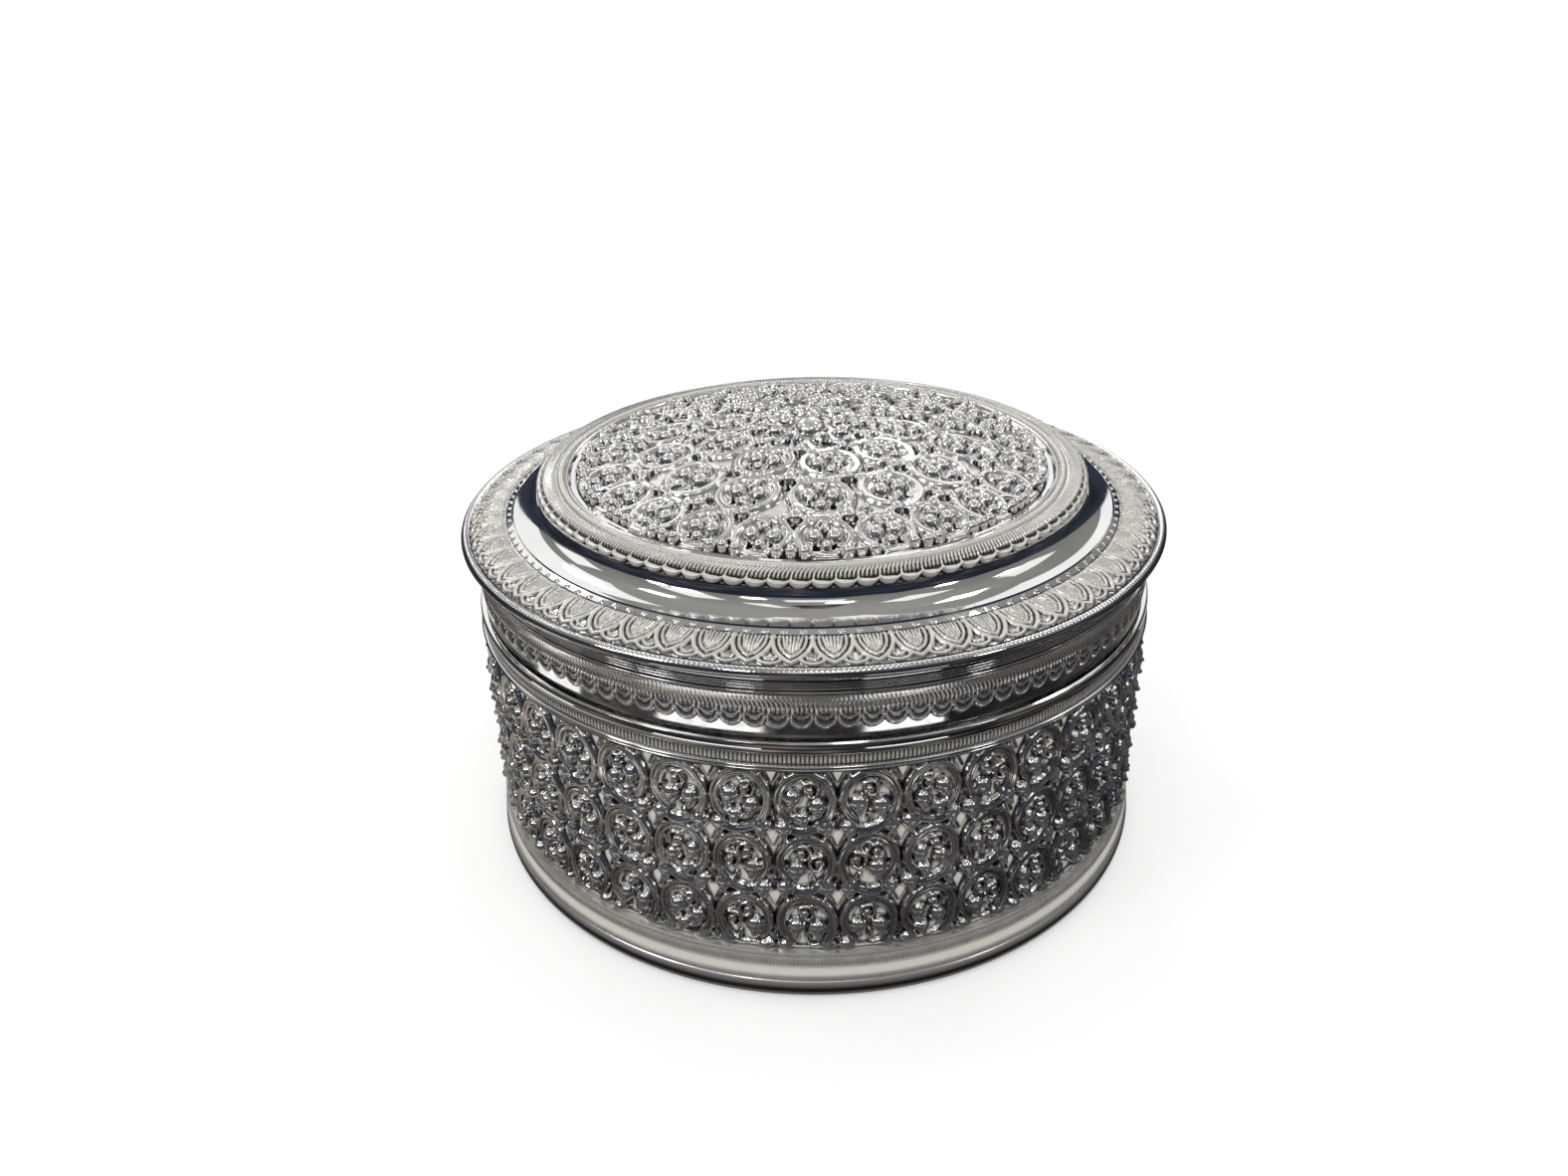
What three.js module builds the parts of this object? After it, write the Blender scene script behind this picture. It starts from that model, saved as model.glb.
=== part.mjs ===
// A round repousse silver box with a lift-off lid.
// Millimetres, +Z up, the origin at the centre of the face that it stands on.
// Every piece is a ring or a disc turned about Z, as the real pieces are raised, spun or drawn, then soldered.
// The wall and the domed panel also carry the main forms of their chasing: roundels of vine and swelling buds.

import * as THREE from "three";

// Driving dimensions
const RIM_RADIUS = 70; // outside of the lid's rim wire, the widest point of the box
const WALL_INSIDE = 66; // inside of the wall
const SHEET = 0.9; // thickness of the silver sheet
const LID_SEAT = 54; // height of the mouth, where the lid sits down
const FLANGE_HEIGHT = 70; // height of the lid's flange at its inner edge
const CROWN_RADIUS = 53.9; // outside of the raised crown of the lid
const CROWN_HEIGHT = 76.8; // height of the crown's border
const DOME_RADIUS = 46.9; // edge of the chased field, where its plain channel begins
const DOME_RISE = 6.6; // how far the chased field swells above its edge
const FIT = 0.3; // running clearance of the lid on the collar
const SEAM = 0.1; // solder seam between two fixed pieces
const SIDES = 48; // facets around every turned piece

// Heights of the base, from the foot up
const FOOT_TOP = 3.4;
const FLOOR_UNDER = 1.2;
const LOWER_BORDER_TOP = 9.7;
const ORNAMENT_TOP = 48.4;
const UPPER_WIRE_TOP = 49.9;
const UPPER_MILLING_TOP = 51.8;
const COLLAR_BOTTOM = 44;
const COLLAR_TOP = 60.5;

// Heights of the lid
const SKIRT_BOTTOM = LID_SEAT + FIT;
const SKIRT_TOP = 62.6;
const RIM_WIRE = 0.95; // radius of the rim wire's section
const DOME_GROUND = CROWN_HEIGHT - 0.75; // ground of the chased field at its edge

// The vine on the wall: roundels in rows, with buds inside them and where four of them meet
const ROUNDEL = { around: 39, radius: 5, stretch: 1.22, first: -1.4, rows: 3, lowest: 16.15, pitch: 13.1 };

// Rings of roundels and of the knots between them on the dome: radius, number, first one in degrees, size
const DOME_ROUNDELS = [
  { radius: 41, count: 24, first: 3.1, size: 1 },
  { radius: 29.4, count: 14, first: 3.3, size: 1.12 },
  { radius: 17.7, count: 9, first: 11.2, size: 1.08 },
];
const DOME_KNOTS = [
  { radius: 45.6, count: 24, first: 10.6, size: 0.62 },
  { radius: 35.6, count: 24, first: 10.6, size: 0.95 },
  { radius: 23.6, count: 14, first: 16.2, size: 1 },
  { radius: 12, count: 9, first: 31.2, size: 0.9 },
];
const MIDDLE_BUDS = { radius: 6.6, count: 7, first: 20, size: 1.05 };

const PLAIN_WALL = WALL_INSIDE + SHEET; // outside of the wall where it has no ornament
const APPLIED = PLAIN_WALL + SEAM; // inside of every ring that is soldered round the wall
const RIM_CENTRE = { r: RIM_RADIUS - RIM_WIRE, z: 67.8 };

const silver = {
  polished: { color: 0xd9dadb, roughness: 0.12, metalness: 1 },
  chased: { color: 0xc4c3bf, roughness: 0.24, metalness: 1 },
  milled: { color: 0xb9b8b3, roughness: 0.3, metalness: 1 },
  inside: { color: 0xcdcdca, roughness: 0.32, metalness: 1 },
};

// Turns a closed outline of [radius, height] points, listed with the metal on its left, about Z.
function turned(name, finish, outline) {
  const closed = outline[0][0] > 0 || outline.at(-1)[0] > 0;
  const points = (closed ? [...outline, outline[0]] : outline).map(([r, z]) => new THREE.Vector2(r, z));
  const geometry = new THREE.LatheGeometry(points, SIDES);
  geometry.rotateX(Math.PI / 2); // the lathe turns about Y
  const mesh = new THREE.Mesh(geometry, new THREE.MeshStandardMaterial(silver[finish]));
  mesh.name = name;
  return mesh;
}

// A closed loop of points about Z, from the front towards +X. at(index, angle) gives each radius and height.
function loop(count, at, start = 0) {
  return Array.from({ length: count }, (_, i) => {
    const angle = start + (i / count) * 2 * Math.PI;
    const [r, z] = at(i, angle);
    return [r * Math.sin(angle), -r * Math.cos(angle), z];
  });
}

const plainLoop = (r, z) => loop(SIDES, () => [r, z]);

const distance = (p, q) => Math.hypot(p[0] - q[0], p[1] - q[1], p[2] - q[2]);

// Triangles between two loops that may differ in their number of points. A loop of one point is a pole.
// Where both have a point at the same turn, the shorter diagonal splits the face.
function strip(first, second, start, next) {
  const faces = [];
  const n = first.length;
  const m = second.length;
  let i = n === 1 ? n : 0;
  let j = m === 1 ? m : 0;
  while (i < n || j < m) {
    const ahead = (i + 1) / n - (j + 1) / m;
    const [a, b] = [first[i % n], first[(i + 1) % n]];
    const [c, d] = [second[(j + 1) % m], second[j % m]];
    const alongFirst = ahead === 0 ? distance(b, d) < distance(a, c) : ahead < 0;
    if (j === m || (i < n && alongFirst)) {
      faces.push(start + (i % n), start + ((i + 1) % n), next + (j % m));
      i += 1;
    } else {
      faces.push(start + (i % n), next + ((j + 1) % m), next + (j % m));
      j += 1;
    }
  }
  return faces;
}

// Joins loops, listed with the metal on the left of their outline, into a ring, or into a disc between two poles.
function lofted(name, finish, loops) {
  const starts = [];
  let count = 0;
  for (const points of loops) {
    starts.push(count);
    count += points.length;
  }
  const disc = loops[0].length === 1;
  const faces = loops.flatMap((points, k) => {
    const after = (k + 1) % loops.length;
    return disc && after === 0 ? [] : strip(points, loops[after], starts[k], starts[after]);
  });
  const geometry = new THREE.BufferGeometry();
  geometry.setAttribute("position", new THREE.Float32BufferAttribute(loops.flat(2), 3));
  geometry.setIndex(faces);
  geometry.computeVertexNormals();
  const mesh = new THREE.Mesh(geometry, new THREE.MeshStandardMaterial(silver[finish]));
  mesh.name = name;
  return mesh;
}

// Height of a swelling bud of half-widths a and b, at an offset of x and y from its middle.
function bud(x, y, a, b, height) {
  return height * Math.sqrt(Math.max(0, 1 - (x / a) ** 2 - (y / b) ** 2));
}

// Points of an elliptical arc in the outline's plane, angles in degrees from the outward direction.
function arc(r, z, across, up, from, to, steps) {
  return Array.from({ length: steps + 1 }, (_, i) => {
    const angle = THREE.MathUtils.degToRad(from + ((to - from) * i) / steps);
    return [r + across * Math.cos(angle), z + up * Math.sin(angle)];
  });
}

// A ring with a half-round outer face.
function halfRound(inside, outside, bottom, top, steps = 6) {
  const middle = (bottom + top) / 2;
  const bulge = arc(inside + SHEET, middle, outside - inside - SHEET, (top - bottom) / 2, -90, 90, steps);
  return [[inside, bottom], ...bulge, [inside, top]];
}

// The foot: a moulded ring whose ledge carries the wall and the floor.
function footRing() {
  return turned("foot_ring", "polished", [
    [65.2, 0],
    [68.5, 0],
    ...arc(68.4, 1.7, 1.1, 1.65, -60, 75, 5),
    [67.9, FOOT_TOP],
    [APPLIED, FOOT_TOP],
    [APPLIED, FLOOR_UNDER - SEAM],
    [65.2, FLOOR_UNDER - SEAM],
  ]);
}

function floorPlate() {
  const edge = WALL_INSIDE - SEAM;
  return turned("base_plate", "inside", [
    [0, FLOOR_UNDER],
    [edge, FLOOR_UNDER],
    [edge, FLOOR_UNDER + SHEET],
    [0, FLOOR_UNDER + SHEET],
  ]);
}

// Height of the vine at x round from and y up from the middle of a roundel.
function vineHeight(x, y) {
  const side = Math.abs(x);
  const ring = bud(Math.hypot(x, y / ROUNDEL.stretch) - ROUNDEL.radius, 0, 1.1, 1, 1.3);
  const inside = bud(side - 1.9, y + 1.1, 1.8, 1.8, 1.7);
  const curl = bud(x, y - 2.3, 1.6, 1.9, 1.2);
  const between = bud(side - 3.6, y + 5.3, 1.8, 1.5, 1.6);
  const ground = bud(side - 5.4, y - 5.5, 1.6, 2.4, 0.6);
  return Math.max(ring, inside, curl, between, ground);
}

// The drum: plain at both ends, with the vine chased out between them.
function bodyWall() {
  const columns = 5; // points across each roundel
  const rows = 6; // and up it
  const across = (2 * Math.PI * PLAIN_WALL) / ROUNDEL.around / columns;
  const start = THREE.MathUtils.degToRad(ROUNDEL.first);
  const vine = Array.from({ length: ROUNDEL.rows * rows }, (_, k) => {
    const y = (((k % rows) - (rows - 1) / 2) * ROUNDEL.pitch) / rows;
    const z = ROUNDEL.lowest + Math.floor(k / rows) * ROUNDEL.pitch + y;
    const at = (i) => [PLAIN_WALL + vineHeight((((i + 2) % columns) - 2) * across, y), z];
    return loop(ROUNDEL.around * columns, at, start);
  });
  return lofted("body_wall", "chased", [
    plainLoop(WALL_INSIDE, FLOOR_UNDER),
    plainLoop(PLAIN_WALL, FLOOR_UNDER),
    plainLoop(PLAIN_WALL, LOWER_BORDER_TOP + SEAM),
    ...vine,
    plainLoop(PLAIN_WALL, ORNAMENT_TOP),
    plainLoop(PLAIN_WALL, LID_SEAT),
    plainLoop(WALL_INSIDE, LID_SEAT),
  ]);
}

// The band above the foot: a plain step, a milled strip and a fine raised line.
function lowerBorder() {
  const bottom = FOOT_TOP + SEAM;
  return turned("lower_border_band", "milled", [
    [APPLIED, bottom],
    [68.9, bottom],
    [68.9, 5.5],
    [68.6, 5.7],
    [68.6, 7.9],
    [68.9, 8.2],
    [68.9, 8.9],
    [68.3, LOWER_BORDER_TOP],
    [APPLIED, LOWER_BORDER_TOP],
  ]);
}

// The three rings soldered round the mouth, from the ornament up.
function mouthRings() {
  const wire = halfRound(APPLIED, 68.3, ORNAMENT_TOP + SEAM, UPPER_WIRE_TOP, 5);
  const bead = halfRound(APPLIED, 68.1, UPPER_MILLING_TOP + SEAM, LID_SEAT);
  return [
    turned("upper_edge_wire", "polished", wire),
    turned("upper_milled_band", "milled", [
      [APPLIED, UPPER_WIRE_TOP + SEAM],
      [67.8, UPPER_WIRE_TOP + SEAM],
      [67.8, UPPER_MILLING_TOP],
      [APPLIED, UPPER_MILLING_TOP],
    ]),
    turned("mouth_bead", "polished", bead),
  ];
}

// The collar stands up inside the mouth and guides the lid.
function innerCollar() {
  const outside = WALL_INSIDE - SEAM;
  const inside = outside - SHEET;
  return turned("inner_collar", "inside", [
    [inside, COLLAR_BOTTOM],
    [outside, COLLAR_BOTTOM],
    [outside, COLLAR_TOP - 0.5],
    [outside - 0.4, COLLAR_TOP],
    [inside, COLLAR_TOP],
  ]);
}

function lidSkirt() {
  const inside = WALL_INSIDE - SEAM + FIT;
  return turned("lid_skirt", "chased", [
    [inside, SKIRT_BOTTOM],
    [67, SKIRT_BOTTOM],
    [67.1, SKIRT_BOTTOM + 0.5],
    [PLAIN_WALL, SKIRT_BOTTOM + 1],
    [PLAIN_WALL, SKIRT_TOP],
    [inside, SKIRT_TOP],
  ]);
}

// The hollow moulding between the skirt and the rim wire.
function lidNeck() {
  const bottom = SKIRT_TOP + SEAM;
  return turned("lid_neck_moulding", "polished", [
    [WALL_INSIDE + 0.2, bottom],
    [67, bottom],
    [67.2, 63.2],
    [66.95, 63.8],
    [67.1, 64.4],
    ...arc(68.3, 64.7, 1.4, 2, 180, 98, 3),
    [68, 67.5],
    [WALL_INSIDE + 0.2, 67.5],
  ]);
}

function rimWire() {
  return turned("lid_rim_wire", "polished", arc(RIM_CENTRE.r, RIM_CENTRE.z, RIM_WIRE, RIM_WIRE, -180, 144, 9));
}

// The sloping flange that carries the lotus petals.
function petalFlange() {
  return turned("lid_petal_flange", "chased", [
    [61.1, FLANGE_HEIGHT - SHEET],
    [68, 68.75 - SHEET],
    [68, 68.75],
    [61.1, FLANGE_HEIGHT],
  ]);
}

// The hollow cove from the flange up to the crown.
function cove() {
  const foot = { r: 59.5, z: 70.9 };
  const outer = arc(foot.r, 75, foot.r - CROWN_RADIUS, 75 - foot.z, 180, 270, 6);
  const inner = arc(foot.r, 75, foot.r - CROWN_RADIUS + SHEET, 75 - foot.z + SHEET, 270, 180, 5);
  return turned("lid_cove", "polished", [
    ...outer,
    [59.7, 70.5],
    [61, 70.1],
    [61, 70.1 - SHEET],
    ...inner,
  ].reverse());
}

// The crown's rolled border with its lappets.
function lappetBand() {
  const outer = arc(50.9, 75.1, CROWN_RADIUS - 50.9, CROWN_HEIGHT - 75.1, 0, 90, 5);
  return turned("lid_lappet_band", "chased", [
    [CROWN_RADIUS - SHEET, 75.1],
    ...outer,
    [50.6, CROWN_HEIGHT],
    [50.6, CROWN_HEIGHT - SHEET],
    [CROWN_RADIUS - SHEET - 1.6, CROWN_HEIGHT - SHEET],
  ]);
}

function milledWire() {
  return turned("lid_milled_wire", "milled", arc(49.9, 76.8, 0.6, 0.55, -180, 135, 7));
}

// A point's offset from the nearest motif of a ring: x round, y in towards the middle, in the motif's own size.
function inMotif({ radius, count, first, size }, r, angle) {
  const step = (2 * Math.PI) / count;
  const from = angle - THREE.MathUtils.degToRad(first);
  const away = from - Math.round(from / step) * step;
  return [(r * Math.sin(away)) / size, (radius - r * Math.cos(away)) / size];
}

function roundelHeight(x, y) {
  const ring = bud(Math.hypot(x, y) - 5.2, 0, 1.1, 1, 1.2);
  return Math.max(ring, bud(Math.abs(x) - 1.95, y, 1.85, 1.7, 2), bud(x, y + 2.7, 1.3, 1.2, 1.4), bud(x, y - 2.35, 1.3, 1.3, 1.3));
}

function knotHeight(x, y) {
  return Math.max(bud(x, y - 0.4, 1.65, 1.5, 1.8), bud(Math.abs(x) - 2.25, y + 0.45, 1.1, 1.1, 1.5), bud(x, y - 2.6, 1.1, 1.1, 1.4));
}

// Height of the dome's chasing over its ground.
function domeHeight(r, angle) {
  const roundels = DOME_ROUNDELS.map((motif) => motif.size * roundelHeight(...inMotif(motif, r, angle)));
  const knots = DOME_KNOTS.map((motif) => motif.size * knotHeight(...inMotif(motif, r, angle)));
  const [x, y] = inMotif(MIDDLE_BUDS, r, angle);
  return Math.max(...roundels, ...knots, bud(x, y, 1.9, 1.8, 1.9), bud(r, 0, 3.3, 1, 2.6));
}

// The domed panel that closes the crown: a chased field inside a plain channel.
function domePanel() {
  const edge = 49.2;
  const channel = CROWN_HEIGHT - 0.2;
  const ground = (r) => DOME_GROUND + DOME_RISE * (1 - (r / DOME_RADIUS) ** 2);
  const start = THREE.MathUtils.degToRad(DOME_ROUNDELS[0].first);
  const spacing = 2.3; // between the loops of the chased field
  const loops = Math.floor(45.6 / spacing) + 1;
  const field = Array.from({ length: loops }, (_, k) => {
    const r = 45.6 - k * spacing;
    const count = r > 24 ? 120 : r > 10 ? 60 : r > 3 ? 30 : 15;
    return loop(count, (_, angle) => [r, ground(r) + domeHeight(r, angle)], start);
  });
  return lofted("lid_dome_panel", "chased", [
    [[0, 0, ground(0) - SHEET]],
    ...[12, 24, 36, DOME_RADIUS].map((r) => plainLoop(r, ground(r) - SHEET)),
    plainLoop(DOME_RADIUS + 0.6, channel - SHEET),
    plainLoop(edge, channel - SHEET),
    plainLoop(edge, channel),
    plainLoop(DOME_RADIUS + 0.6, channel),
    plainLoop(DOME_RADIUS, ground(DOME_RADIUS)),
    ...field,
    [[0, 0, ground(0) + domeHeight(0, 0)]],
  ]);
}

const base = new THREE.Group();
base.add(footRing(), floorPlate(), bodyWall(), lowerBorder(), ...mouthRings(), innerCollar());

const lid = new THREE.Group();
lid.add(lidSkirt(), lidNeck(), rimWire(), petalFlange(), cove(), lappetBand(), milledWire(), domePanel());

const box = new THREE.Group();
box.add(base, lid);

export default box;
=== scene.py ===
"""A round repousse silver box with a lift-off lid, on a pale studio floor.

The box is in millimetres until its meshes are made, and every piece is turned about Z. The floor,
cards and lamps are in metres. The chased work is a height map on an unrolled sheet: x runs round the
box to the right, and y runs up the wall or in towards the middle of the lid.
"""

import math

import bpy
import numpy as np
from mathutils import Matrix, Vector


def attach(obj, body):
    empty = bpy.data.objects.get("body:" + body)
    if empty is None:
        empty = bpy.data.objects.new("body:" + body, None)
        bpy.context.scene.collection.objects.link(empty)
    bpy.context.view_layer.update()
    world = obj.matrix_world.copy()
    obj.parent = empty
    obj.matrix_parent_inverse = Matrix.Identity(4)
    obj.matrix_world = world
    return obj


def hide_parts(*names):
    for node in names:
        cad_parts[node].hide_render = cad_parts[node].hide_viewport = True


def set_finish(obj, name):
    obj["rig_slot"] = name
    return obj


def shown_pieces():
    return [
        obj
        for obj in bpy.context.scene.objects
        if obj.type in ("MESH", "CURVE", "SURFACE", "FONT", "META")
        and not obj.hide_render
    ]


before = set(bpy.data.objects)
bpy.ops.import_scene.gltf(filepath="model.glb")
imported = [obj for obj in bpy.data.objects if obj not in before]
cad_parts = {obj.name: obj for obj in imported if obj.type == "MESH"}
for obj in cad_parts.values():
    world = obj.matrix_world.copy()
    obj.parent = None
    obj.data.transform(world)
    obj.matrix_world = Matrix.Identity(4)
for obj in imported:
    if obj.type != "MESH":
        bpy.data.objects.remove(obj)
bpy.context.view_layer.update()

MM = 0.001
TURN = 2 * math.pi
COLUMNS = 320  # facets round the plain turned pieces
SHARP = 35  # degrees from which an edge of a plain turned piece is hard
AXIS = 0.01  # least radius, for the points on the axis
OUTSIDE = -9.0  # lower than any relief, where a motif has no metal
FAR = 9.0  # where the search for the nearest part of a motif's outline starts

# Sizes shared with the solids
WALL_INSIDE = 66.0
SHEET = 0.9
PLAIN_WALL = WALL_INSIDE + SHEET
APPLIED = PLAIN_WALL + 0.1  # inner face of the rings laid round the wall
MOUTH = 54.0
DOME_RADIUS = 46.9
DOME_EDGE = 77.0
DOME_GROUND = DOME_EDGE - 0.95  # height of the chasing's ground at the dome's edge
DOME_RISE = 6.6


# Meshes


def arc(r, z, across, up, start, end, steps):
    """Points of an elliptical arc, angles in degrees from the outward direction."""
    angles = np.radians(np.linspace(start, end, steps + 1))
    return [(r + across * math.cos(a), z + up * math.sin(a)) for a in angles]


def bend(start, through, end, steps):
    """Points of a curve that leaves start towards through and reaches end from it."""
    s = np.linspace(0, 1, steps + 1)[:, None]
    return [tuple(p) for p in (1 - s) ** 2 * start + 2 * s * (1 - s) * through + s**2 * end]


def along(points, count):
    """(r, z, normal r, normal z) at even steps of a line with its outer side on the right."""
    points = np.asarray(points, dtype=float)
    steps = np.hypot(*np.diff(points, axis=0).T)
    length = np.concatenate([[0], np.cumsum(steps)])
    at = np.linspace(0, length[-1], count)
    r, z = np.interp(at, length, points[:, 0]), np.interp(at, length, points[:, 1])
    dr, dz = np.gradient(r), np.gradient(z)
    size = np.hypot(dr, dz)
    return np.stack([r, z, dz / size, -dr / size], -1)


def add_mesh(name, vertices, faces, body, slot, nodes, shades, sharp=None, seams=None):
    """A piece from vertices in millimetres and faces of four corners, facing out.

    shades are values at its points. Edges are hard from sharp degrees, or where seams says: the number of
    columns, and the rings of vertices, by row number, that keep a hard edge.
    """
    corners = vertices[faces]
    first = np.cross(corners[:, 1] - corners[:, 0], corners[:, 2] - corners[:, 0])
    second = np.cross(corners[:, 2] - corners[:, 0], corners[:, 3] - corners[:, 0])
    if (corners[:, 0] * (first + second)).sum() < 0:
        faces = faces[:, ::-1]
    mesh = bpy.data.meshes.new(name)
    mesh.vertices.add(len(vertices))
    mesh.vertices.foreach_set("co", (vertices * MM).astype(np.float32).ravel())
    mesh.loops.add(faces.size)
    mesh.loops.foreach_set("vertex_index", faces.astype(np.int32).ravel())
    mesh.polygons.add(len(faces))
    mesh.polygons.foreach_set("loop_start", np.arange(0, faces.size, 4, dtype=np.int32))
    mesh.update(calc_edges=True)
    mesh.shade_smooth()
    if sharp:
        mesh.set_sharp_from_angle(angle=math.radians(sharp))
    if seams:
        ends = np.empty(len(mesh.edges) * 2, dtype=np.int32)
        mesh.edges.foreach_get("vertices", ends)
        row = ends.reshape(-1, 2) // seams[0]
        hard = (row[:, 0] == row[:, 1]) & np.isin(row[:, 0], seams[1])
        mesh.attributes.new("sharp_edge", "BOOLEAN", "EDGE").data.foreach_set("value", hard)
    for key, values in shades.items():
        shade = mesh.attributes.new(key, "FLOAT", "POINT")
        shade.data.foreach_set("value", values.astype(np.float32).ravel())
    piece = bpy.data.objects.new(name, mesh)
    bpy.context.scene.collection.objects.link(piece)
    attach(piece, body)
    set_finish(piece, slot)
    if nodes:
        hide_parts(*nodes)


def ring_faces(rows, columns):
    """Faces of a closed tube of rows by columns."""
    row = np.arange(rows)[:, None]
    column = np.arange(columns)[None, :]
    after = (row + 1) % rows
    beside = (column + 1) % columns
    corners = [(row, column), (row, beside), (after, beside), (after, column)]
    return np.stack([at * columns + round_at for at, round_at in corners], -1).reshape(-1, 4)


def swept(r, z, angle):
    """Points at radius r and height z, angles measured from the front towards +X."""
    return np.stack([r * np.sin(angle), -r * np.cos(angle), z], -1).reshape(-1, 3)


def turned(name, profile, body, slot, nodes=(), grooves=0.0, low=0.0, matt=0.0):
    """A smooth ring from a closed profile of (radius, height). A disc starts and ends on the axis.

    Inside the radius grooves it is darkened as tarnished grooves with painted shade, and under the height low
    as painted shade. matt is its share of frosting.
    """
    profile = np.array(profile, dtype=float)
    angle = np.arange(COLUMNS) / COLUMNS * TURN
    r = np.repeat(np.maximum(profile[:, 0], AXIS)[:, None], COLUMNS, axis=1)
    z = np.repeat(profile[:, 1][:, None], COLUMNS, axis=1)
    # painted shade in the colour: darker in the grooves, with tarnished grooves, and under the height low
    recess = np.clip((grooves - r) * 3, 0, 1) + np.clip((low - z) * 0.3, 0, 1)
    shades = {"recess": recess, "matt": np.full(r.shape, matt)}
    faces = ring_faces(len(profile), COLUMNS)
    add_mesh(name, swept(r, z, angle), faces, body, slot, nodes, shades, sharp=SHARP)


# Relief


class Relief:
    """A height map of chased work on a sheet that is width round by height up, and closes on itself in x."""

    def __init__(self, width, height, step, step_up=None):
        self.columns = int(round(width / step))
        self.rows = int(round(height / (step_up or step))) + 1
        self.width = width
        self.dx = width / self.columns
        self.dy = height / (self.rows - 1)
        self.height = np.zeros((self.rows, self.columns))
        self.pits = np.zeros((self.rows, self.columns))

    def window(self, x, y, reach):
        """The cells within reach of a point, and the places of their columns and rows."""
        low = max(0, int(math.floor((y - reach) / self.dy)))
        high = min(self.rows - 1, int(math.ceil((y + reach) / self.dy)))
        columns = np.arange(int(math.floor((x - reach) / self.dx)), int(math.ceil((x + reach) / self.dx)) + 1)
        rows = np.arange(low, high + 1)
        return np.ix_(rows, columns % self.columns), columns[None, :] * self.dx, rows[:, None] * self.dy

    def raise_to(self, cells, value):
        self.height[cells] = np.maximum(self.height[cells], value)

    def boss(self, x, y, a, b, tilt, height, base=0.0, power=0.5):
        """A domed bud or leaf of half-widths a and b."""
        cells, px, py = self.window(x, y, max(a, b))
        c, s = math.cos(tilt), math.sin(tilt)
        u = ((px - x) * c + (py - y) * s) / a
        v = ((py - y) * c - (px - x) * s) / b
        d = 1 - u * u - v * v
        self.raise_to(cells, np.where(d > 0, base + height * np.maximum(d, 0) ** power, OUTSIDE))

    def bead(self, x, y, radius, base):
        """A punched bead, a little higher than a half ball."""
        cells, px, py = self.window(x, y, radius)
        d = radius * radius - (px - x) ** 2 - (py - y) ** 2
        self.raise_to(cells, np.where(d > 0, base + 1.2 * np.sqrt(np.maximum(d, 0)), OUTSIDE))

    def cord(self, points, radii, height, base=0.0, power=0.5):
        """A rounded ridge along a line, with its own half-width at each point."""
        points = np.asarray(points, dtype=float)
        radii = np.broadcast_to(np.asarray(radii, dtype=float), (len(points),))
        middle = (points.max(0) + points.min(0)) / 2
        reach = (points.max(0) - points.min(0)).max() / 2 + radii.max()
        cells, px, py = self.window(middle[0], middle[1], reach)
        best = np.full((py.shape[0], px.shape[1]), FAR)
        for (x0, y0), (x1, y1), r0, r1 in zip(points[:-1], points[1:], radii[:-1], radii[1:]):
            ex, ey = x1 - x0, y1 - y0
            t = np.clip(((px - x0) * ex + (py - y0) * ey) / (ex * ex + ey * ey + 1e-12), 0, 1)
            best = np.minimum(best, np.hypot(px - x0 - t * ex, py - y0 - t * ey) / (r0 + t * (r1 - r0)))
        ridge = base + height * np.maximum(1 - best * best, 0) ** power
        self.raise_to(cells, np.where(best < 1, ridge, OUTSIDE))

    def polygon(self, corners):
        """The cells round a polygon, how far inside its edges each lies, and its offset from the middle.

        The corners are listed anticlockwise.
        """
        corners = np.asarray(corners, dtype=float)
        x, y = corners.mean(0)
        cells, px, py = self.window(x, y, np.abs(corners - (x, y)).max())
        depth = np.full((py.shape[0], px.shape[1]), FAR)
        for (x0, y0), (x1, y1) in zip(corners, np.roll(corners, -1, axis=0)):
            ex, ey = x1 - x0, y1 - y0
            depth = np.minimum(depth, (ex * (py - y0) - ey * (px - x0)) / math.hypot(ex, ey))
        return cells, depth, px - x, py - y

    def plaque(self, corners, height, lean):
        """A flat leaf with straight edges, whose top slopes up by lean along x and y."""
        cells, depth, across, up = self.polygon(corners)
        top = height + lean[0] * across + lean[1] * up
        self.raise_to(cells, np.where(depth > 0, top * np.minimum(depth / 0.3, 1), OUTSIDE))

    def pit(self, corners, depth):
        """A pierced opening with straight edges."""
        cells, inside, _, _ = self.polygon(corners)
        # its depth also darkens the colour there, in finished: painted shade inside the opening
        self.pits[cells] = np.maximum(self.pits[cells], depth * np.clip(inside / 0.15, 0, 1))

    def finished(self, passes=1, tarnish_and_shade=1.0):
        """The heights with the hammer's softness, and how deep each point lies among its neighbours."""
        height = self.height - self.pits
        for _ in range(passes):
            height = soften(height)
        # the second value darkens the colour: the hollows as tarnished silver with painted shade, the pierced
        # grounds as painted shade
        return height, tarnish_and_shade * cavity(height, self.dx, self.dy) + 0.3 * self.pits

    def flats(self, height, below=0.8):
        """1 on the flat grounds between the raised work, which are left matt, and 0 on the work itself."""
        across = (np.roll(height, -1, axis=1) - np.roll(height, 1, axis=1)) / (2 * self.dx)
        steep = np.hypot(across, np.gradient(height, self.dy, axis=0))
        return np.clip(1.3 - steep / 0.6, 0, 1) * np.clip((below - height) / 0.2, 0, 1)


SIDE, OWN = 0.22, 0.56  # shares of a point's two neighbours and of the point itself in the blur
NEAR = 0.6  # how far round a point its depth is measured


def soften(height):
    """A light blur that takes the steps off the edges."""
    padded = np.pad(height, ((1, 1), (0, 0)), mode="edge")
    height = padded[:-2] * SIDE + padded[1:-1] * OWN + padded[2:] * SIDE
    return np.roll(height, 1, axis=1) * SIDE + height * OWN + np.roll(height, -1, axis=1) * SIDE


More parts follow.
